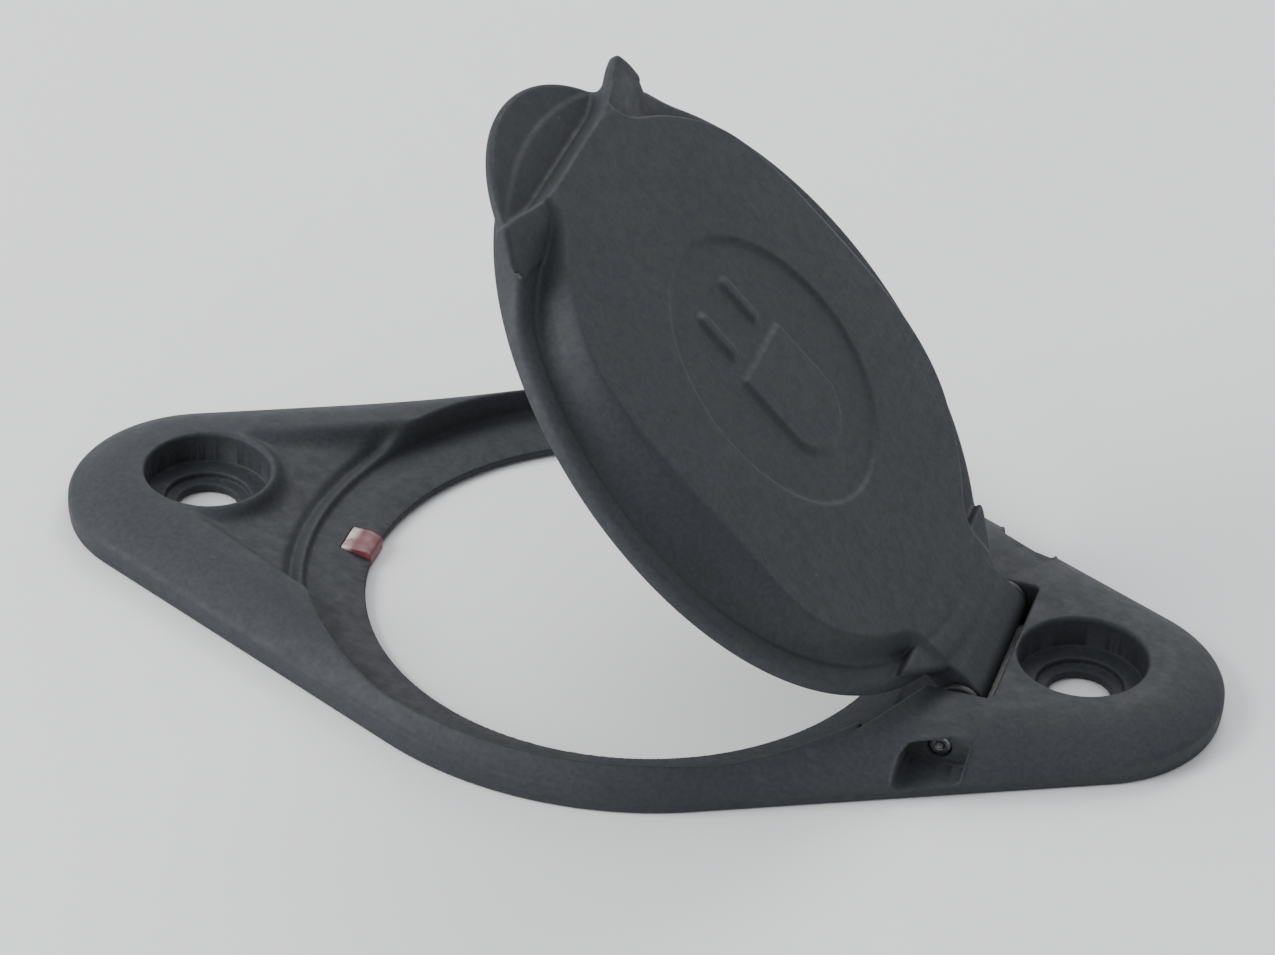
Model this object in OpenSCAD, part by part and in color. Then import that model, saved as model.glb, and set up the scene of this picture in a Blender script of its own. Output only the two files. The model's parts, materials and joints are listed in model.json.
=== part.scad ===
// Hinged weather cover for a round power inlet.
// A two-hole diamond flange frames a round opening. A flip lid turns on a pin beside
// the right-hand screw hole and drops into a stepped seat around the opening.
// Origin: centre of the opening, on the flange's rear face. +Z points out of the panel,
// +X runs along the long axis towards the hinge. The lid is drawn in its open position.

/* [Flange] */
// Distance between the two screw holes
hole_spacing = 78; // [76:1:84]
// Radius of the rounded ends around the screw holes
ear_r = 12.1; // [11.5:0.1:13]
// Radius of the round middle of the outline
body_r = 29.5; // [29.3:0.1:31]
// Overall thickness of the flange
flange_h = 4.4; // [4.2:0.1:4.5]
// Height of the vertical side wall below the sloping top
side_h = 2.1; // [1.6:0.1:2.6]
// Width of the slope at the rounded ends
ear_slope = 4.6; // [3:0.1:5]

/* [Opening] */
// Radius of the opening at the rear face
opening_r = 23.0; // [20:0.1:23.5]
// Height of the straight wall at the rear of the opening
opening_h = 0.8; // [0.5:0.1:1.2]
// Inner radius of the seat ledge
ledge_r = 25.7; // [25:0.1:26]
// Radius of the seat that takes the lid
seat_r = 28.1; // [28:0.05:28.4]
// Height of the seat ledge above the rear face
seat_z = 1.6; // [1.5:0.1:1.7]

/* [Screw holes] */
// Radius of the screw clearance hole
screw_r = 2.65; // [2:0.05:3]
// Radius of the step under the screw head
step_r = 3.7; // [3.4:0.1:4]
// Height of the floor of that step
step_z = 0.9; // [0.8:0.1:1.1]
// Radius of the counterbore for the screw head
head_r = 5.45; // [5:0.05:5.45]
// Height of the counterbore floor
head_z = 1.5; // [1.3:0.1:1.8]

/* [Lid] */
// Radius of the lid
lid_r = 27.75; // [27:0.05:27.8]
// Height of the lid's underside above the rear face when closed
lid_z = 1.9; // [1.9:0.1:2.1]
// Height of the lid's rim when closed
rim_z = 3.3; // [3:0.1:3.6]
// Height of the lid's raised face when closed
face_z = 6.4; // [5.8:0.1:6.6]
// Half width of the raised face
face_w = 21; // [18:0.5:22]
// Level at which the face may reach out over the flange
wing_z = 4.7; // [4.7:0.05:4.9]
// Half width of the face's two corners beside the scoop
horn_w = 16; // [14:0.5:17]
// Distance of those corners from the middle of the lid
horn_x = 26.8; // [26.5:0.1:28]
// Reach of the finger tab from the middle of the lid
tab_reach = 31.6; // [30:0.1:32.2]
// Radius of the finger tab
tab_r = 14; // [11:0.5:14.5]
// Position of the scoop edge above the finger tab
scoop_x = 25.2; // [24:0.1:26]
// Angle of the lid from closed
open_angle = 44; // [0:1:90]

/* [Plug sign] */
// Outer radius of the sunken disc
sign_r = 12.1; // [10:0.1:13]
// Depth of the disc and height of the sign on it
sign_h = 0.35; // [0.2:0.05:0.5]
// Half width of the plug's body
plug_w = 4.8; // [4:0.1:5.5]
// Distance from the flat of the plug's body to its round end
plug_l = 10; // [8:0.5:11]

/* [Hinge] */
// Distance of the pin from the middle of the opening
pin_x = 30.4; // [30:0.1:30.6]
// Height of the pin above the rear face
pin_z = 2.7; // [2.4:0.05:2.8]
// Radius of the pin
pin_r = 1; // [0.8:0.05:1.1]
// Radial running clearance around the pin
pin_gap = 0.05; // [0.02:0.01:0.08]
// Half width of the hinge pocket in the flange
pocket_w = 8.4; // [8:0.1:9]
// Outer end of the hinge pocket
pocket_x = 33.2; // [33.2:0.1:33.4]
// Half width of the lid's knuckle
knuckle_w = 7.5; // [7:0.1:7.6]
// Radius of the lid's knuckle
knuckle_r = 2; // [1.9:0.05:2.1]
// Thickness of each friction washer
washer_t = 0.6; // [0.4:0.1:0.7]
// Width of the pin notches in the sides of the flange
notch_w = 5.2; // [4:0.1:5.5]

/* [Seals and catch] */
// Depth of the rear gasket, which fills its groove
gasket_t = 0.7; // [0.5:0.1:0.8]
// Width of the rear gasket
gasket_w = 1.6; // [1.2:0.1:1.8]
// Mean radius of the lid seal
seal_r = 26.8; // [26.6:0.1:26.9]
// Width of the catch magnet
magnet_w = 3.2; // [2.5:0.1:4]
// Place of the catch magnet along Y
magnet_y = -1.6; // [-3:0.1:3]

/* [Hidden] */
$fn = 96;
EPS = 0.01;
BIG = 100;
hole_x = hole_spacing / 2;
pin_end = 14.0;                    // half length of the pin
notch_y = 14.2;                    // depth of the notches: their inner wall
notch_z = 1.1;                     // floor of the notches
notch_h = 2.7;                     // height of the notches
groove_in = 1.5;                   // wall between the outline and the gasket groove
seal_w = 1;                        // width of the lid seal
seal_lip = 0.1;                    // how far the seal stands below the lid
hollow_r = 25.2;                   // hollow in the lid's underside
hollow_h = 0.7;
keeper_r = 2.6;                    // steel keeper in the roof of the hollow
keeper_t = 0.6;
keeper_x = -21.8;
tab_z = 2.7;                       // underside of the finger tab
magnet_t = 1.4;                    // thickness of the catch magnet
magnet_in = 2.6;                   // reach of the magnet into the opening's wall
magnet_out = 0.2;                  // reach of the magnet out of that wall
magnet_z = 0.15;
fan_z = 3;                         // level of the finger recess beside the screw hole
fan_in = [24, 13.6];               // inner corners of the recess: X and half width
fan_out = [37, 7.2];               // outer corners of the recess
fan_collar = 33.2;                 // where the recess meets the screw hole's collar
relief_w = 11.2;                   // half width of the relief beside the hinge pocket
relief_x = [24, 26.3, 27.6];       // start, shoulder and end of that relief
tab_clear = 0.4;                   // space around the finger tab in the recess
tab_t = 1;                         // thickness of the finger tab
face_in = 1.25;                    // how far the raised face stands back from the rim
arm_l = 5;                         // how far the knuckle's arm reaches in over the lid
scoop_w = 12;                      // half width of the scoop
lip_w = 9;                         // half width of the scoop's straight edge
sign_x = -2.3;                     // flat edge of the plug's body
nose_r = 5.6;                      // radius of the plug's round end
prong_x = -8.5;                    // tips of the plug's two pins
prong_y = 3;                       // distance of each pin from the middle
prong = [4.6, 1.4];                // length and width of each pin
rim_gap = 0.3;                     // space between the seat ledge and what lies over it
plastic = [0.17, 0.175, 0.19];
rubber = [0.08, 0.08, 0.085];
steel = [0.72, 0.73, 0.75];
red = [0.45, 0.13, 0.14];
washer_grey = [0.12, 0.12, 0.13];

// ---- outlines -------------------------------------------------------------

// Points on an arc about [cx, 0] from angle a0 to a1
function arc(cx, r, a0, a1, n) =
    [for (i = [0:n]) let (a = a0 + (a1 - a0) * i / n) [cx + r * cos(a), r * sin(a)]];

// Diamond outline: a big circle in the middle and a small one at each end,
// joined by tangent lines
function diamond(r, e) =
    let (t = asin((r - e) / hole_x))
    concat(arc(hole_x, e, t - 90, 90 - t, 24),
           arc(0, r, 90 - t, 90 + t, 16),
           arc(-hole_x, e, 90 + t, 270 - t, 24),
           arc(0, r, 270 - t, 270 + t, 16));

module slab(points, z0, z1) {
    translate([0, 0, z0]) linear_extrude(z1 - z0) polygon(points);
}

// ---- flange ---------------------------------------------------------------

module flange_blank() {
    hull() {
        slab(diamond(body_r, ear_r), 0, side_h);
        slab(diamond(seat_r + 0.8, ear_r - ear_slope), flange_h - EPS, flange_h);
    }
}

// Stepped round opening that the lid closes
module opening_cut() {
    rotate_extrude() polygon([
        [0, -1], [opening_r, -1], [opening_r, opening_h], [ledge_r, seat_z],
        [seat_r, seat_z], [seat_r, flange_h + 1], [0, flange_h + 1]]);
}

// Fan-shaped finger recess between the left hole and the seat, under the tab
module recess_cut() {
    slab([[-fan_in.x, -fan_in.y], [-fan_in.x, fan_in.y], [-fan_out.x, fan_out.y],
          [-fan_collar, 0], [-fan_out.x, -fan_out.y]], fan_z, flange_h + 1);
    translate([0, 0, tab_z - tab_clear]) linear_extrude(BIG)
        translate([tab_r - tab_reach, 0]) intersection() {
            circle(r = tab_r + tab_clear);
            translate([-BIG, -BIG / 2]) square([BIG, BIG]);
        }
}

module screw_hole_cut() {
    translate([0, 0, -1]) cylinder(r = screw_r, h = BIG);
    translate([0, 0, step_z]) cylinder(r = step_r, h = BIG);
    translate([0, 0, head_z]) cylinder(r = head_r, h = BIG);
}

// Pocket for the lid's knuckle, open to the rear, and the pin's bore and notches
module hinge_cut() {
    translate([pin_x - knuckle_r - rim_gap, -pocket_w, -1])
        cube([pocket_x - pin_x + knuckle_r + rim_gap, 2 * pocket_w, BIG]);
    translate([ledge_r, -pocket_w, seat_z]) cube([5, 2 * pocket_w, BIG]);
    // relief for the lid's rim as it swings past the ends of the pocket
    slab([[relief_x[0], -relief_w], [relief_x[1], -relief_w], [relief_x[2], -pocket_w],
          [relief_x[2], pocket_w], [relief_x[1], relief_w], [relief_x[0], relief_w]], fan_z, BIG);
    translate([pin_x, 0, pin_z]) rotate([90, 0, 0])
        cylinder(r = pin_r + pin_gap, h = 2 * notch_y + 1, center = true, $fn = 48);
    for (s = [-1, 1])
        translate([pin_x - notch_w / 2, s > 0 ? notch_y : -notch_y - 10, notch_z])
            cube([notch_w, 10, notch_h]);
}

module gasket_groove(extra) {
    difference() {
        slab(diamond(body_r - groove_in, ear_r - groove_in), -extra, gasket_t);
        slab(diamond(body_r - groove_in - gasket_w, ear_r - groove_in - gasket_w),
             -1, gasket_t + 1);
    }
}

module magnet_body() {
    translate([-opening_r - magnet_in, magnet_y - magnet_w / 2, magnet_z])
        cube([magnet_in + magnet_out, magnet_w, magnet_t]);
}

module flange() {
    color(plastic) difference() {
        flange_blank();
        opening_cut();
        recess_cut();
        for (s = [-1, 1]) translate([s * hole_x, 0, 0]) screw_hole_cut();
        hinge_cut();
        gasket_groove(1);
        magnet_body();
    }
}

// Places what stands along Z on the pin's axis
module along_pin() {
    translate([pin_x, 0, pin_z]) rotate([90, 0, 0]) children();
}

// ---- lid, drawn closed and then opened about the pin ----------------------

module opened() {
    translate([pin_x, 0, pin_z]) rotate([0, open_angle, 0])
        translate([-pin_x, 0, -pin_z]) children();
}

module tab_outline() {
    intersection() {
        translate([tab_r - tab_reach, 0]) circle(r = tab_r);
        translate([-BIG, -BIG / 2]) square([BIG - 20, BIG]);
    }
}

// Raised face: a band across the lid that stops at the scoop above the tab
module face_outline(r) {
    intersection() {
        circle(r = r);
        translate([-scoop_x, -face_w]) square([BIG, 2 * face_w]);
    }
}

// The face's two corners, which reach out over the flange beside the tab
module horn_outline() {
    polygon([[-scoop_x + 4, -face_w], [-horn_x, -horn_w], [-scoop_x, -lip_w],
             [-scoop_x, lip_w], [-horn_x, horn_w], [-scoop_x + 4, face_w]]);
}

module plug_sign() {
    translate([sign_x, 0]) intersection() {
        translate([plug_l - nose_r, 0]) circle(r = nose_r);
        translate([0, -plug_w]) square([BIG, 2 * plug_w]);
    }
    translate([sign_x, -plug_w]) square([plug_l - nose_r, 2 * plug_w]);
    for (s = [-1, 1]) translate([prong_x, s * prong_y - prong.y / 2]) square(prong);
}

module lid_blank() {
    translate([0, 0, lid_z]) cylinder(r = lid_r, h = rim_z - lid_z, $fn = 144);
    translate([0, 0, rim_z - 1]) linear_extrude(face_z - rim_z + 1) face_outline(lid_r - face_in);
    translate([0, 0, wing_z]) linear_extrude(face_z - wing_z) horn_outline();
    translate([lid_r - arm_l, -knuckle_w, lid_z])
        cube([pin_x - lid_r + arm_l, 2 * knuckle_w, pin_z + knuckle_r - lid_z]);
    along_pin() cylinder(r = knuckle_r, h = 2 * knuckle_w, center = true, $fn = 64);
}

// Everything above the finger tab, up to the straight edge of the scoop
module scoop_cut() {
    translate([-BIG - scoop_x, -scoop_w, tab_z + tab_t]) cube([BIG, 2 * scoop_w, BIG]);
}

module lid() {
    color(plastic) opened() {
        difference() {
            union() {
                difference() {
                    lid_blank();
                    scoop_cut();
                }
                translate([0, 0, tab_z]) linear_extrude(tab_t) tab_outline();
            }
            // sunken disc for the plug sign
            translate([0, 0, face_z - sign_h]) cylinder(r = sign_r, h = 1);
            // hollow underside inside the seal
            translate([0, 0, lid_z - 1]) cylinder(r = hollow_r, h = hollow_h + 1);
            seal_body(0);
            keeper_disc(keeper_t);
            along_pin() cylinder(r = pin_r + pin_gap, h = BIG, center = true, $fn = 48);
        }
        translate([0, 0, face_z - sign_h - EPS]) linear_extrude(sign_h) plug_sign();
    }
}

module seal_body(lip) {
    translate([0, 0, lid_z - lip]) rotate_extrude()
        translate([seal_r - seal_w / 2, 0]) square([seal_w, 0.6 + lip]);
}

module lid_seal() {
    color(rubber) opened() seal_body(seal_lip);
}

// Steel disc under the face, over the catch magnet
module keeper_disc(h) {
    translate([keeper_x, magnet_y, lid_z + hollow_h]) cylinder(r = keeper_r, h = h);
}

module lid_keeper() {
    color(steel) opened() keeper_disc(keeper_t);
}

// ---- small parts ----------------------------------------------------------

module hinge_pin() {
    color(steel) along_pin() cylinder(r = pin_r, h = 2 * pin_end, center = true, $fn = 48);
}

module friction_washer(side) {
    color(washer_grey) translate([0, side * (pocket_w + knuckle_w) / 2, 0]) along_pin()
        difference() {
            cylinder(r = 1.9, h = washer_t, center = true, $fn = 64);
            cylinder(r = pin_r + pin_gap, h = BIG, center = true, $fn = 48);
        }
}

module catch_magnet() {
    color(red) magnet_body();
}

module panel_gasket() {
    color(rubber) gasket_groove(0);
}

flange();
lid();
hinge_pin();
friction_washer(-1);  // near_friction_washer
friction_washer(1);  // far_friction_washer
lid_seal();
lid_keeper();
catch_magnet();
panel_gasket();
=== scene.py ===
import json
import math

import bmesh
import bpy
import numpy as np
import openvdb as vdb
from mathutils import Matrix, Vector


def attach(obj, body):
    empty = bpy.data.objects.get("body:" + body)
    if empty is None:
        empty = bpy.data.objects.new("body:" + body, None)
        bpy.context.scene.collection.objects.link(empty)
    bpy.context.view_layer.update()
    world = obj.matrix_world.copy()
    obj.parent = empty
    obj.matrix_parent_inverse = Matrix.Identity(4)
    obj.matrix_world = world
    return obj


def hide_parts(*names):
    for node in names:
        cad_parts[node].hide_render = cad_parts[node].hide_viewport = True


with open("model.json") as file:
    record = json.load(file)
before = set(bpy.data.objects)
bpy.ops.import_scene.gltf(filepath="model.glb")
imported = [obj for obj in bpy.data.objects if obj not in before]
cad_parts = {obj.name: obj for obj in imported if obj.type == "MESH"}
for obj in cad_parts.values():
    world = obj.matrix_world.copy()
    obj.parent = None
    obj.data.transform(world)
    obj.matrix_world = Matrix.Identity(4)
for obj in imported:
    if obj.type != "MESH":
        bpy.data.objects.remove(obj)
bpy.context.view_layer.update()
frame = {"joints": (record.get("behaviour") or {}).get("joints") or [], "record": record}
MM = 0.001

# ---- driving dimensions, in millimetres -----------------------------------
joint = frame["joints"][0]
record = frame["record"]
PIN_X, PIN_Z = joint["pos_m"][0] / MM, joint["pos_m"][2] / MM
OPEN_ANGLE = -joint["range_deg"][0]          # closed is the hinge's lower limit
HOLE_X = record["mounts"][0]["dims"]["spacing_x_mm"] / 2
SCREW_R = record["mounts"][0]["dims"]["hole_r_mm"]
FLANGE_H, SIDE_H = 4.4, 2.1
EAR_R, BODY_R = 12.1, 29.5
BODY_SLOPE, EAR_SLOPE, CROWN = 1.7, 4.2, 1.9
CREASE_DEPTH, PARTING_DEPTH, PARTING_Z = 0.13, 0.1, 0.95
OPENING_R, OPENING_H = 23.0, 0.8
LEDGE_R, SEAT_R, SEAT_Z = 25.7, 28.1, 1.6
STEP_R, STEP_Z, HEAD_R, HEAD_Z = 3.7, 0.9, 5.45, 1.5
FAN_EDGE, FAN_END, COLLAR_R = 22.9, 38.0, 5.95
GROOVE_R, GROOVE_DEPTH, GROOVE_W = 29.4, 0.5, 0.55
POCKET_X, POCKET_W = 33.2, 8.4
RELIEF_W, RELIEF_START, RELIEF_X, RELIEF_END, RELIEF_Z = 11.2, 24, 26.3, 27.8, 3.0
KNUCKLE_R, KNUCKLE_W, ARM_IN = 2.0, 7.5, 6
FLARE_Z, FLARE_X, FLARE_END, FLARE_W = 3.4, 24.9, 27.9, 11.5
PIN_R, PIN_GAP, PIN_END = 1.0, 0.05, 14.0
WASHER_R, WASHER_T = 1.9, 0.6
NOTCH_W, NOTCH_Y, NOTCH_Z0, NOTCH_Z1 = 5.2, 14.2, 1.1, 3.8
GASKET_IN, GASKET_W, GASKET_T = 1.5, 1.6, 0.7
LID_R, LID_Z, RIM_Z, FACE_Z, ARM_Z = 27.75, 1.9, 3.3, 6.4, 4.7
FACE_R, FACE_FOOT, FACE_W = 23.7, 25.3, 20.6
FALL_START, FALL_END = 3, 27.5
NECK_W, NECK_FOOT, NECK_X = 7.8, 1.8, 12
TAB_Z, TAB_T, TAB_R, TAB_REACH = 2.7, 1.0, 14.6, 31.1
SCOOP_X, SCOOP_FLARE = 24.7, 1.5
HORN_Z, HORN_CLEAR, HORN_FALL, LIP_W = 5.9, 4.75, 0.43, 0.9
HORN_SIDE_X, HORN_SIDE_Y, HORN_SIDE = 0.519, 0.855, 26.5
SIGN_R, SIGN_H = 12.1, 0.3
SEAL_R, SEAL_W, SEAL_T, SEAL_LIP = 26.8, 1.0, 0.6, 0.1
HOLLOW_R, HOLLOW_H = 25.2, 0.7
KEEPER_X, KEEPER_Y, KEEPER_R, KEEPER_T = -21.8, -1.6, 2.6, 0.6
MAGNET_IN, MAGNET_OUT, MAGNET_Y, MAGNET_W = 2.6, 0.2, -1.6, 3.2
MAGNET_Z, MAGNET_T = 0.15, 1.4
CELL, FACES = 0.16, 190000                  # of the two mouldings

# ---- camera, as the object is seen; the distance is in metres --------------
CAMERA_AZIMUTH, CAMERA_ELEVATION, CAMERA_ROLL = 15.57, 34.17, 3.0
CAMERA_TARGET, CAMERA_DISTANCE, CAMERA_LENS = (-5.4, 18.23, 0), 0.46, 146.7


# ---- distance fields ------------------------------------------------------
# A field is negative inside the piece. smax and smin round the corner where two
# surfaces meet, over about k millimetres.

def smax(a, b, k):
    h = np.maximum(k - np.abs(a - b), 0) / k
    return np.maximum(a, b) + h * h * k / 4


def smin(a, b, k):
    return -smax(-a, -b, k)


def step(a, b, t):
    """Smooth step from 0 at a to 1 at b."""
    u = np.clip((t - a) / (b - a), 0, 1)
    return u * u * (3 - 2 * u)


def bump_at(t, centre, width):
    return np.exp(-(((t - centre) / width) ** 2))


def slab(t, low, high):
    return np.abs(t - (low + high) / 2) - (high - low) / 2


def rect(x, y, half_x, half_y, r):
    """Distance to a rectangle with corners of radius r."""
    qx, qy = np.abs(x) - half_x + r, np.abs(y) - half_y + r
    return np.hypot(np.maximum(qx, 0), np.maximum(qy, 0)) + np.minimum(np.maximum(qx, qy), 0) - r


def diamond(x, y, main_r, ear_r):
    """Distance to the outline of a big circle and two small ones in one taut loop."""
    across, along = np.abs(y), np.abs(x)
    b = (main_r - ear_r) / HOLE_X
    a = math.sqrt(1 - b * b)
    k = a * along - b * across
    side = a * across + b * along - main_r
    main = np.hypot(along, across) - main_r
    ear = np.hypot(along - HOLE_X, across) - ear_r
    return np.where(k < 0, main, np.where(k > a * HOLE_X, ear, side))


# ---- flange ---------------------------------------------------------------

def stepped_hole(r, z):
    screw = r - SCREW_R
    under = np.maximum(r - STEP_R, STEP_Z - z)
    head = np.maximum(r - HEAD_R, HEAD_Z - z)
    return smin(smin(screw, under, 0.25), head, 0.25)


def flange_blank(x, y, z):
    """Crowned diamond plate with a fine crease over its side wall."""
    edge = diamond(x, y, BODY_R, EAR_R)
    slope_w = BODY_SLOPE + EAR_SLOPE * step(8, 34, np.abs(x))
    inside = np.clip(-edge / slope_w, 0, 1)
    crown = 1 - (1 - inside) ** CROWN
    top = SIDE_H + (FLANGE_H - SIDE_H) * crown
    steep = 1 / np.sqrt(1 + (2.6 / slope_w) ** 2)
    wall = edge + CREASE_DEPTH * bump_at(z, SIDE_H + 0.15, 0.2)
    wall = wall + PARTING_DEPTH * step(PARTING_Z, PARTING_Z - 0.2, z)
    return smax(smax(wall, (z - top) * steep, 0.3), -z, 0.3)


def opening(r, z):
    share = np.clip((z - OPENING_H) / (SEAT_Z - OPENING_H), 0, 1)
    wall = (r - OPENING_R - (LEDGE_R - OPENING_R) * share) * 0.6
    return smin(wall, smax(r - SEAT_R, SEAT_Z - z, 0.5), 0.5)


def finger_recess(x, y, z):
    """Fan whose sides run parallel to the outline, and the groove beside the seat."""
    b = (BODY_R - EAR_R) / HOLE_X
    a = math.sqrt(1 - b * b)
    side = a * np.abs(y) - b * x - FAN_EDGE
    fan = smax(side, COLLAR_R - np.hypot(x + HOLE_X, y), 0.6)
    fan = smax(fan, -x - FAN_END, 1.0)
    fan = np.maximum(fan, x + 20)
    r = np.hypot(x, y)
    reach = np.hypot(x + TAB_REACH - TAB_R, y) - TAB_R
    floor = SEAT_Z + 0.65 + 0.9 * step(-1.5, 3.5, reach) + 0.4 * step(2, 7, reach)
    floor = floor - GROOVE_DEPTH * bump_at(r, GROOVE_R, GROOVE_W)
    return smax(fan, (floor - z) * 0.7, 1.8)


def hinge_space(x, y, z):
    """Knuckle pocket, and the relief for the lid's rim beside it."""
    back = PIN_X - KNUCKLE_R - 0.3
    pocket = rect(x - (POCKET_X + back) / 2, y, (POCKET_X - back) / 2, POCKET_W, 0.5)
    over = rect(x - 28, y, 2.6, POCKET_W, 0.3)
    over = np.maximum(over, SEAT_Z - z)
    relief = np.abs(y) + (x - RELIEF_X) * 2.1 - RELIEF_W
    relief = np.maximum(relief, RELIEF_START - x) * 0.43
    relief = np.maximum(np.maximum(relief, x - RELIEF_END), RELIEF_Z - z)
    return np.minimum(np.minimum(pocket, over), relief)


def pin_notch(x, y, z):
    """Square pocket in each side wall, with the thin flash round its mouth."""
    half_h = (NOTCH_Z1 - NOTCH_Z0) / 2
    notch = rect(x - PIN_X, z - NOTCH_Z0 - half_h, NOTCH_W / 2, half_h, 0.8)
    return notch + 0.12 * bump_at(x - PIN_X - z, 0.6, 0.9)


def flange_field(x, y, z):
    solid = flange_blank(x, y, z)
    notch = pin_notch(x, y, z)
    lip = smax(np.abs(notch) - 0.2, solid - 0.16, 0.15)
    solid = np.where(np.abs(y) > 12, smin(solid, lip, 0.15), solid)
    solid = smax(solid, -opening(np.hypot(x, y), z), 0.45)
    solid = smax(solid, -finger_recess(x, y, z), 0.7)
    for s in (-1, 1):
        solid = smax(solid, -stepped_hole(np.hypot(x - s * HOLE_X, y), z), 0.4)
    solid = smax(solid, -hinge_space(x, y, z), 0.3)
    solid = smax(solid, -np.maximum(notch, NOTCH_Y - np.abs(y)), 0.2)
    bore = np.hypot(x - PIN_X, z - PIN_Z) - PIN_R - PIN_GAP
    solid = np.maximum(solid, -bore)
    solid = np.maximum(solid, -np.maximum(gasket_outline(x, y), z - GASKET_T))
    return np.maximum(solid, -magnet_box(x, y, z, 0.02))


def gasket_outline(x, y):
    edge = diamond(x, y, BODY_R, EAR_R)
    return np.abs(edge + GASKET_IN + GASKET_W / 2) - GASKET_W / 2


def magnet_box(x, y, z, grow):
    middle = -OPENING_R + (MAGNET_OUT - MAGNET_IN) / 2
    plan = rect(x - middle, y - MAGNET_Y, (MAGNET_IN + MAGNET_OUT) / 2, MAGNET_W / 2, 0.2)
    return np.maximum(plan, slab(z, MAGNET_Z, MAGNET_Z + MAGNET_T)) - grow


# ---- lid, closed ----------------------------------------------------------

def plug_sign(x, y):
    """Distance to the outline of a two-pin plug whose pins point away from the hinge."""
    body = rect(x - 0.2, y, 2.5, 4.9, 0.5)
    nose = np.maximum(np.hypot(x - 2.2, y) - 5.6, np.abs(y) - 4.9)
    nose = np.maximum(nose, -2.3 - x)
    pins = rect(x + 6.2, np.abs(y) - 3.0, 2.3, 0.75, 0.6)
    return np.minimum(np.minimum(body, nose), pins)


def face_level(x):
    """The raised face falls towards the hinge."""
    return FACE_Z - (FACE_Z - ARM_Z) * step(FALL_START, FALL_END, x)


def lid_top(x, y):
    """Height of the rim, and of the raised face on it."""
    r = np.hypot(x, y)
    away = smax(r - FACE_R, np.abs(y) - FACE_W, 3.0)
    neck = smax(np.abs(y) - NECK_W, NECK_X - np.abs(x), 1.0)
    over = np.maximum(smin(away, neck, 2.5), 0.0)
    neck_foot = smax(np.abs(y) - NECK_W - NECK_FOOT, NECK_X - np.abs(x), 1.0)
    foot = smin(r - FACE_FOOT, neck_foot, 2.0)
    room = np.maximum(-foot, 0.0)
    share = room / (over + room + 1e-6)
    top = RIM_Z + (face_level(x) - RIM_Z) * step(0, 1, share)
    top = top - 0.16 * bump_at(r, FACE_FOOT + 0.2, 0.35)
    return smax(top, horn_top(x, y), 0.6)


def scoop_edge(y):
    return SCOOP_X + SCOOP_FLARE * step(7.0, 15.0, np.abs(y))


def horn_top(x, y):
    """Lip along the scoop's edge that falls away towards the rim."""
    inward = x + scoop_edge(y) - LIP_W
    return HORN_Z - HORN_FALL * smax(inward, 0.0, 1.2)


def horns(x, y, z):
    """The lip's two corners, which reach over the flange beside the tab."""
    side = (np.abs(y) * HORN_SIDE_Y - x * HORN_SIDE_X) - HORN_SIDE
    horn = smax(side, (z - horn_top(x, y)) * 0.9, 0.7)
    horn = np.maximum(horn, np.maximum(x + 19, 5.0 - np.abs(y)))
    return smax(horn, HORN_CLEAR - z, 0.2)


def scoop(x, y, z):
    return smax(x + scoop_edge(y), TAB_Z + TAB_T - z, 0.4)


def finger_tab(x, y, z):
    tab = np.hypot(x + TAB_REACH - TAB_R, y) - TAB_R
    tab = np.maximum(tab, x + 20)
    dish = 0.12 * bump_at(np.hypot(x + 28, y * 0.5), 0, 3.0)
    return smax(tab, slab(z, TAB_Z, TAB_Z + TAB_T) + dish, 0.5)


def knuckle(x, y, z):
    start = LID_R - ARM_IN
    arm = rect(x - (start + PIN_X) / 2, y, (PIN_X - start) / 2, KNUCKLE_W, 0.1)
    arm = smax(arm, slab(z, LID_Z, ARM_Z - 0.45 * step(28.6, 26.6, x)), 0.3)
    barrel = np.hypot(x - PIN_X, z - PIN_Z) - KNUCKLE_R
    barrel = smax(barrel, np.abs(y) - KNUCKLE_W, 0.25)
    flare = (np.abs(y) + (x - FLARE_X) * 1.5 - FLARE_W) * 0.55
    flare = np.maximum(flare, np.hypot(x, y) - 28.3)
    flare = smax(smax(flare, slab(x, 23.6, FLARE_END), 0.5), slab(z, FLARE_Z, ARM_Z - 0.3), 0.5)
    return smin(np.minimum(arm, barrel), flare, 0.6)


def lid_field(x, y, z):
    r = np.hypot(x, y)
    lid = smax(r - LID_R, (z - lid_top(x, y)) * 0.7, 0.9)
    lid = smin(lid, horns(x, y, z), 0.5)
    lid = smax(lid, -scoop(x, y, z), 0.35)
    lid = smin(lid, finger_tab(x, y, z), 0.45)
    sign = np.where(r < SIGN_R + 2, smax(r - SIGN_R, -plug_sign(x - 0.3, y), 0.4), 1.0)
    lid = smax(lid, -smax(sign, face_level(x) - SIGN_H - z, 0.5), 0.5)
    lid = smin(lid, knuckle(x, y, z), 0.5)
    # flat, hollow underside with the seal's groove and the keeper's pocket
    lid = np.where(x < 28, smax(lid, LID_Z - z, 0.3), lid)
    lid = smax(lid, -np.maximum(r - HOLLOW_R, z - LID_Z - HOLLOW_H), 0.3)
    lid = np.maximum(lid, -np.maximum(np.abs(r - SEAL_R) - SEAL_W / 2, z - LID_Z - SEAL_T))
    lid = np.maximum(lid, -keeper_disc(x, y, z))
    return np.maximum(lid, PIN_R + PIN_GAP - np.hypot(x - PIN_X, z - PIN_Z))


def keeper_disc(x, y, z):
    low = LID_Z + HOLLOW_H
    plan = np.hypot(x - KEEPER_X, y - KEEPER_Y) - KEEPER_R
    return np.maximum(plan, slab(z, low - 0.2, low + KEEPER_T))


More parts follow.
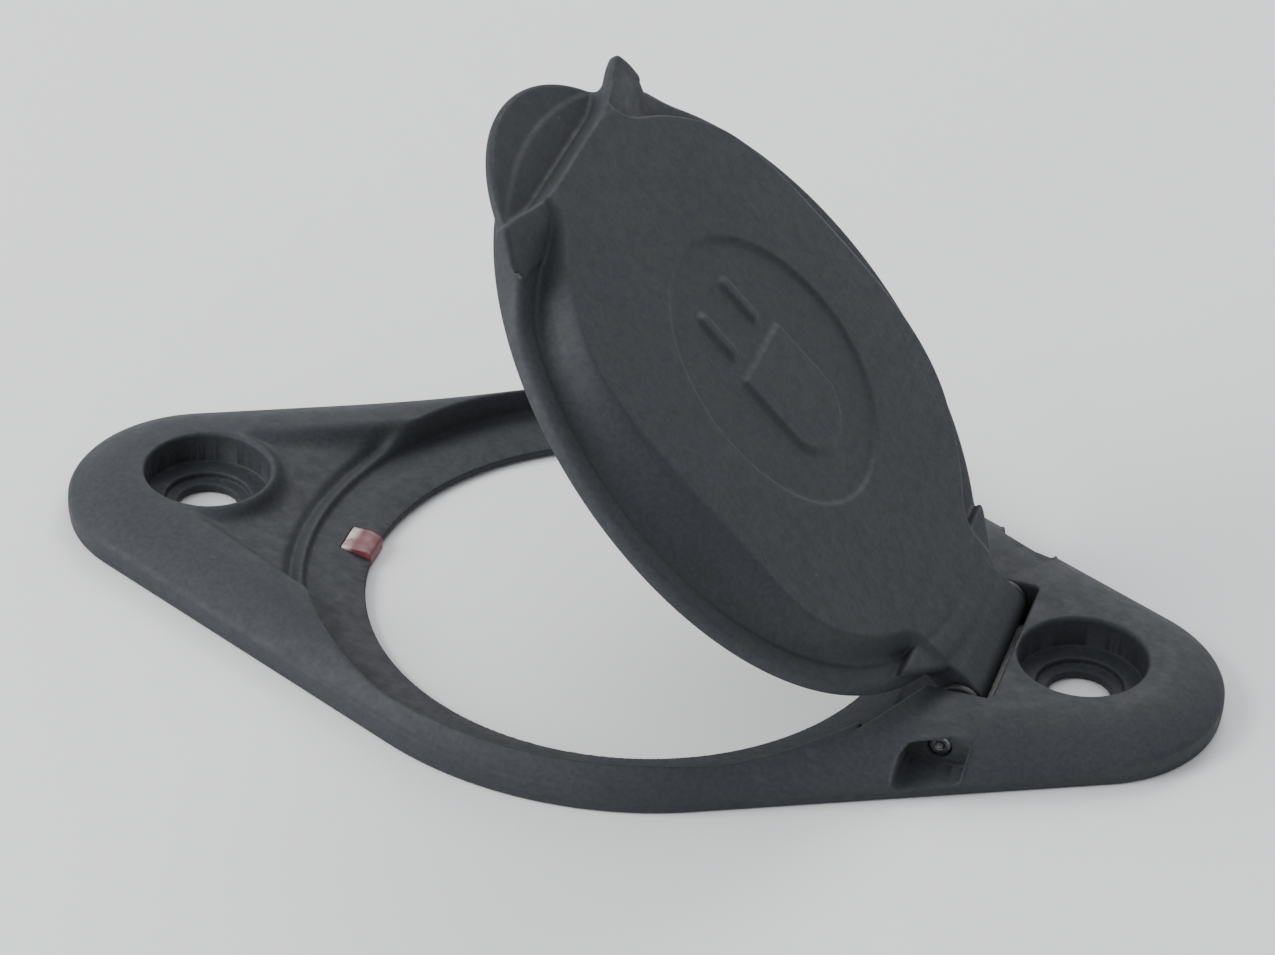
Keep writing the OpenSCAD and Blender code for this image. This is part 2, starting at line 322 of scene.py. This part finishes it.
# ---- small pieces ---------------------------------------------------------

def keeper_field(x, y, z):
    low = LID_Z + HOLLOW_H
    plan = np.hypot(x - KEEPER_X, y - KEEPER_Y) - KEEPER_R
    plate = smax(plan, slab(z, low, low + KEEPER_T), 0.25)
    centre = np.hypot(x - KEEPER_X, y - KEEPER_Y) - 0.5
    return smax(plate, -smax(centre, z - low - 0.2, 0.1), 0.15)


def magnet_field(x, y, z):
    block = magnet_box(x, y, z, 0)
    chamfer = (z - MAGNET_Z - MAGNET_T + (x + OPENING_R + 0.6) * 0.5) * 0.9
    return smax(smax(block, chamfer, 0.25), -x - OPENING_R - MAGNET_IN, 0.2)


def pin_field(x, y, z):
    round_r = np.hypot(x - PIN_X, z - PIN_Z)
    pin = smax(round_r - PIN_R, np.abs(y) - PIN_END, 0.3)
    return smax(pin, -smax(round_r - 0.35, PIN_END - 0.15 - np.abs(y), 0.1), 0.1)


def washer_field(x, y, z):
    round_r = np.hypot(x - PIN_X, z - PIN_Z)
    middle = (POCKET_W + KNUCKLE_W) / 2
    ring = smax(round_r - WASHER_R, np.abs(np.abs(y) - middle) - WASHER_T / 2, 0.2)
    return smax(ring, PIN_R + PIN_GAP - round_r, 0.15)


def seal_field(x, y, z):
    """Ring in the lid's groove with a rounded lip that stands a little proud."""
    ring = np.abs(np.hypot(x, y) - SEAL_R) - SEAL_W / 2
    return smax(ring, slab(z, LID_Z - SEAL_LIP, LID_Z + SEAL_T), 0.45)


def gasket_field(x, y, z):
    return smax(gasket_outline(x, y), slab(z, 0, GASKET_T), 0.3)


# ---- meshing --------------------------------------------------------------

def slope(field, p, eps=0.02):
    out = np.empty_like(p)
    for i in range(3):
        d = np.zeros(3)
        d[i] = eps
        hi, lo = p + d, p - d
        out[:, i] = (field(*hi.T) - field(*lo.T)) / (2 * eps)
    return out


def settle(field, p, reach):
    """Pull points onto the surface."""
    start = p.copy()
    for _ in range(3):
        g = slope(field, p)
        g2 = np.maximum((g * g).sum(1), 0.05)
        p = p - g * (field(*p.T) / g2)[:, None]
        move = p - start
        size = np.linalg.norm(move, axis=1)
        p = start + move * np.minimum(1, reach / np.maximum(size, 1e-9))[:, None]
    return p


def field_mesh(name, field, low, high, cell, faces):
    low, high = np.array(low, float), np.array(high, float)
    n = np.ceil((high - low) / cell).astype(int) + 1
    axes = [low[i] + cell * np.arange(n[i]) for i in range(3)]
    grid = np.empty(n, np.float32)
    for k, z in enumerate(axes[2]):
        grid[:, :, k] = field(axes[0][:, None], axes[1][None, :], np.float64(z))
    volume = vdb.FloatGrid(3 * cell)
    volume.copyFromArray(np.clip(grid, -3 * cell, 3 * cell))
    points, triangles, quads = volume.convertToPolygons(isovalue=0.0, adaptivity=0.0)
    points = settle(field, points * cell + low, cell)
    mesh = bpy.data.meshes.new(name)
    mesh.from_pydata(points.tolist(), [], quads.tolist() + triangles.tolist())
    obj = bpy.data.objects.new(name, mesh)
    bpy.context.collection.objects.link(obj)
    thin = obj.modifiers.new("thin", "DECIMATE")
    thin.ratio = min(1, faces / (2 * len(quads) + len(triangles)))
    graph = bpy.context.evaluated_depsgraph_get()
    baked = bpy.data.meshes.new_from_object(obj.evaluated_get(graph))
    obj.modifiers.clear()
    obj.data = baked
    obj.data.name = name
    bpy.data.meshes.remove(mesh)
    return obj


def finish_mesh(obj, field, place):
    """Settle once more, then millimetres to metres and into place."""
    mesh = obj.data
    p = np.empty(len(mesh.vertices) * 3)
    mesh.vertices.foreach_get("co", p)
    p = settle(field, p.reshape(-1, 3), 0.05)
    mesh.vertices.foreach_set("co", p.ravel())
    bm = bmesh.new()
    bm.from_mesh(mesh)
    bmesh.ops.dissolve_degenerate(bm, dist=0.002, edges=bm.edges)
    bmesh.ops.triangulate(bm, faces=bm.faces)
    if bm.calc_volume(signed=True) < 0:
        bmesh.ops.reverse_faces(bm, faces=bm.faces)
    bm.to_mesh(mesh)
    bm.free()
    mesh.transform(place @ Matrix.Scale(MM, 4))
    mesh.update()
    for poly in mesh.polygons:
        poly.use_smooth = True
    return obj


def opened():
    """Turns the closed lid to its stored, open place."""
    pin = Vector((PIN_X, 0, PIN_Z)) * MM
    return (Matrix.Translation(pin) @ Matrix.Rotation(math.radians(OPEN_ANGLE), 4, "Y")
            @ Matrix.Translation(-pin))


def piece(name, field, low, high, cell, faces, body, node):
    """Builds one visual piece over the CAD node it replaces."""
    obj = field_mesh(name, field, low, high, cell, faces)
    finish_mesh(obj, field, opened() if body == "lid" else Matrix.Identity(4))
    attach(obj, body)
    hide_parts(node)
    return obj


def washer(name, side, node):
    middle = side * (POCKET_W + KNUCKLE_W) / 2
    low = (PIN_X - 2.2, middle - 0.6, PIN_Z - 2.2)
    high = (PIN_X + 2.2, middle + 0.6, PIN_Z + 2.2)
    return piece(name, washer_field, low, high, 0.06, 12000, "base", node)


# ---- materials ------------------------------------------------------------

class Material:
    """A Principled material and the node helpers used on it."""

    def __init__(self, name):
        self.material = bpy.data.materials.new(name)
        self.material.use_nodes = True
        self.nodes = self.material.node_tree.nodes
        self.links = self.material.node_tree.links
        self.shader = self.nodes["Principled BSDF"]
        self.place = self.nodes.new("ShaderNodeTexCoord").outputs["Object"]

    def noise(self, scale, detail=3.0, stretch=None):
        node = self.nodes.new("ShaderNodeTexNoise")
        node.inputs["Scale"].default_value = scale
        node.inputs["Detail"].default_value = detail
        self.links.new(self.stretched(stretch), node.inputs["Vector"])
        return node.outputs["Fac"]

    def stretched(self, stretch):
        if stretch is None:
            return self.place
        node = self.nodes.new("ShaderNodeMapping")
        node.inputs["Scale"].default_value = stretch
        self.links.new(self.place, node.inputs["Vector"])
        return node.outputs["Vector"]

    def specks(self, scale):
        node = self.nodes.new("ShaderNodeTexVoronoi")
        node.inputs["Scale"].default_value = scale
        self.links.new(self.place, node.inputs["Vector"])
        return node.outputs["Distance"]

    def ramp(self, value, stops):
        node = self.nodes.new("ShaderNodeValToRGB")
        for i, (at, level) in enumerate(stops):
            element = node.color_ramp.elements[i] if i < 2 else node.color_ramp.elements.new(at)
            element.position = at
            element.color = (level, level, level, 1)
        self.links.new(value, node.inputs["Fac"])
        return node.outputs["Color"]

    def mix(self, share, first, second):
        node = self.nodes.new("ShaderNodeMix")
        node.data_type = "RGBA"
        sockets = {s.identifier: s for s in node.inputs}
        self.links.new(share, sockets["Factor_Float"])
        self.plug(first, sockets["A_Color"])
        self.plug(second, sockets["B_Color"])
        return {s.identifier: s for s in node.outputs}["Result_Color"]

    def plug(self, value, socket):
        if isinstance(value, tuple):
            socket.default_value = (*value, 1)
        else:
            self.links.new(value, socket)

    def times(self, first, second):
        node = self.nodes.new("ShaderNodeMath")
        node.operation = "MULTIPLY"
        self.links.new(first, node.inputs[0])
        self.links.new(second, node.inputs[1])
        return node.outputs["Value"]

    def colour(self, value):
        self.plug(value, self.shader.inputs["Base Color"])

    def roughness(self, value):
        self.links.new(value, self.shader.inputs["Roughness"])

    def bump(self, height, strength, distance):
        node = self.nodes.new("ShaderNodeBump")
        node.inputs["Strength"].default_value = strength
        node.inputs["Distance"].default_value = distance
        self.links.new(height, node.inputs["Height"])
        self.links.new(node.outputs["Normal"], self.shader.inputs["Normal"])


def moulding_material():
    """Black matt moulded plastic: fine grain, a few scuffs and specks."""
    m = Material("moulded_plastic")
    cloud = m.ramp(m.noise(60.0, 4), [(0.3, 0), (0.7, 1)])
    colour = m.mix(cloud, (0.026, 0.0285, 0.033), (0.030, 0.033, 0.0375))
    grain = m.ramp(m.noise(2400.0, 2), [(0.35, 0), (0.75, 1)])
    colour = m.mix(m.times(grain, m.ramp(cloud, [(0, 0.25), (1, 0.4)])), colour, (0.058, 0.061, 0.067))
    scuff = m.ramp(m.noise(320.0, 3, (1.0, 3.0, 2.0)), [(0.68, 0), (0.76, 0.2)])
    colour = m.mix(scuff, colour, (0.065, 0.07, 0.075))
    spots = m.times(m.ramp(m.specks(330.0), [(0.07, 1), (0.11, 0)]),
                    m.ramp(m.noise(150.0, 2), [(0.66, 0), (0.70, 0.7)]))
    colour = m.mix(spots, colour, (0.26, 0.27, 0.27))
    m.colour(colour)
    m.roughness(m.ramp(m.noise(800.0), [(0.35, 0.6), (0.7, 0.72)]))
    m.bump(m.noise(2600.0, 2), 0.3, 0.00006)
    m.shader.inputs["Specular IOR Level"].default_value = 0.3
    return m.material


def rubber_material():
    m = Material("seal_rubber")
    bloom = m.ramp(m.noise(300.0, 4), [(0.35, 0), (0.75, 0.6)])
    m.colour(m.mix(bloom, (0.014, 0.014, 0.015), (0.035, 0.035, 0.037)))
    m.roughness(m.ramp(m.noise(900.0), [(0.3, 0.72), (0.7, 0.86)]))
    m.bump(m.noise(1800.0, 3), 0.25, 0.00005)
    return m.material


def steel_material():
    m = Material("pin_steel")
    drawn = m.ramp(m.noise(900.0, 3, (3.0, 0.2, 3.0)), [(0.3, 0), (0.7, 1)])
    colour = m.mix(drawn, (0.16, 0.16, 0.17), (0.24, 0.24, 0.25))
    stain = m.ramp(m.noise(400.0, 4), [(0.5, 0), (0.7, 0.7)])
    m.colour(m.mix(stain, colour, (0.09, 0.08, 0.07)))
    m.roughness(m.ramp(drawn, [(0, 0.34), (1, 0.48)]))
    m.bump(drawn, 0.2, 0.00003)
    m.shader.inputs["Metallic"].default_value = 1.0
    return m.material


def washer_material():
    m = Material("washer_plastic")
    cloud = m.ramp(m.noise(700.0, 3), [(0.35, 0), (0.7, 1)])
    m.colour(m.mix(cloud, (0.030, 0.030, 0.033), (0.050, 0.050, 0.054)))
    m.roughness(m.ramp(m.noise(1500.0), [(0.3, 0.45), (0.7, 0.58)]))
    m.bump(m.noise(3000.0, 2), 0.2, 0.00004)
    return m.material


def magnet_material():
    """Dull red coat, with a pale painted highlight along one upper edge."""
    m = Material("magnet_red")
    cloud = m.ramp(m.noise(900.0, 4), [(0.3, 0), (0.7, 1)])
    colour = m.mix(cloud, (0.13, 0.035, 0.04), (0.19, 0.055, 0.06))
    # painted highlight: a pale patch on the end deepest in the wall, masked by X and broken up by
    # noise
    split = m.nodes.new("ShaderNodeSeparateXYZ")
    m.links.new(m.place, split.inputs["Vector"])
    side = m.nodes.new("ShaderNodeMapRange")
    side.inputs["From Min"].default_value = (-OPENING_R - 1.5) * MM
    side.inputs["From Max"].default_value = (-OPENING_R - 2.3) * MM
    m.links.new(split.outputs["X"], side.inputs["Value"])
    pale_highlight_patch = m.times(side.outputs["Result"], m.ramp(m.noise(700.0, 3), [(0.32, 0.2), (0.5, 1)]))
    m.colour(m.mix(pale_highlight_patch, colour, (0.62, 0.56, 0.48)))
    m.roughness(m.ramp(m.noise(1300.0), [(0.3, 0.4), (0.7, 0.6)]))
    m.bump(m.noise(2500.0, 3), 0.25, 0.00004)
    return m.material


# ---- stage ----------------------------------------------------------------

def stage():
    bm = bmesh.new()
    bmesh.ops.create_grid(bm, x_segments=2, y_segments=2, size=1.5)
    mesh = bpy.data.meshes.new("floor")
    bm.to_mesh(mesh)
    bm.free()
    floor = bpy.data.objects.new("floor", mesh)
    floor.location.z = -0.00005
    bpy.context.collection.objects.link(floor)
    material = bpy.data.materials.new("floor")
    material.use_nodes = True
    shader = material.node_tree.nodes["Principled BSDF"]
    shader.inputs["Base Color"].default_value = (0.9, 0.9, 0.9, 1)
    shader.inputs["Roughness"].default_value = 0.9
    mesh.materials.append(material)
    world = bpy.data.worlds.new("world")
    bpy.context.scene.world = world
    world.use_nodes = True
    world.node_tree.nodes["Background"].inputs["Color"].default_value = (0.93, 0.96, 1, 1)
    world.node_tree.nodes["Background"].inputs["Strength"].default_value = 0.75
    add_light("key", (0.0, 0.6, 0.5), 0.4, 2.6)
    add_light("fill", (-0.5, -0.3, 0.35), 0.4, 5.0)


def add_light(name, place, size, power):
    light = bpy.data.lights.new(name, "AREA")
    light.size = size
    light.energy = power
    lamp = bpy.data.objects.new(name, light)
    lamp.location = place
    aim = Vector((0, 0, 0.01)) - Vector(place)
    lamp.rotation_euler = aim.to_track_quat("-Z", "Y").to_euler()
    bpy.context.collection.objects.link(lamp)


def camera():
    azimuth, elevation = math.radians(CAMERA_AZIMUTH), math.radians(CAMERA_ELEVATION)
    roll = math.radians(CAMERA_ROLL)
    target = Vector(CAMERA_TARGET) * MM
    level = math.cos(elevation)
    back = Vector((math.sin(azimuth) * level, -math.cos(azimuth) * level, math.sin(elevation)))
    data = bpy.data.cameras.new("camera")
    data.sensor_width = 36
    data.lens = CAMERA_LENS
    data.clip_start = 0.01
    cam = bpy.data.objects.new("camera", data)
    turn = (-back).to_track_quat("-Z", "Y").to_matrix().to_4x4()
    cam.matrix_world = (Matrix.Translation(target + back * CAMERA_DISTANCE) @ turn
                        @ Matrix.Rotation(roll, 4, "Z"))
    bpy.context.collection.objects.link(cam)
    bpy.context.scene.camera = cam


# ---- build ----------------------------------------------------------------

flange = piece("flange_moulding", flange_field, (-51.6, -30, -0.45), (51.6, 30, 4.85),
               CELL, FACES, "base", "flange")
lid = piece("lid_moulding", lid_field, (-33, -28.2, -0.2), (33.2, 28.2, 7.0),
            CELL, FACES, "lid", "lid")
pin = piece("steel_pin", pin_field, (PIN_X - 1.3, -14.3, PIN_Z - 1.3),
            (PIN_X + 1.3, 14.3, PIN_Z + 1.3), 0.08, 30000, "base", "hinge_pin")
near_washer = washer("near_washer_ring", -1, "near_friction_washer")
far_washer = washer("far_washer_ring", 1, "far_friction_washer")
magnet = piece("red_magnet", magnet_field, (-26.0, -3.6, -0.1), (-22.4, 0.4, 1.9),
               0.05, 20000, "base", "catch_magnet")
keeper = piece("keeper_plate", keeper_field, (-24.8, -4.6, 2.3), (-18.8, 1.4, 3.5),
               0.06, 20000, "lid", "lid_keeper")
seal = piece("seal_ring", seal_field, (-27.7, -27.7, 1.5), (27.7, 27.7, 2.8),
             0.1, 90000, "lid", "lid_seal")
gasket = piece("gasket_loop", gasket_field, (-50.3, -28.6, -0.3), (50.3, 28.6, 1.0),
               0.12, 90000, "base", "panel_gasket")

plastic, rubber, steel = moulding_material(), rubber_material(), steel_material()
dark, red = washer_material(), magnet_material()
for obj, material in ((flange, plastic), (lid, plastic), (pin, steel), (near_washer, dark),
                      (far_washer, dark), (magnet, red), (keeper, steel), (seal, rubber),
                      (gasket, rubber)):
    obj.data.materials.clear()
    obj.data.materials.append(material)

stage()
camera()
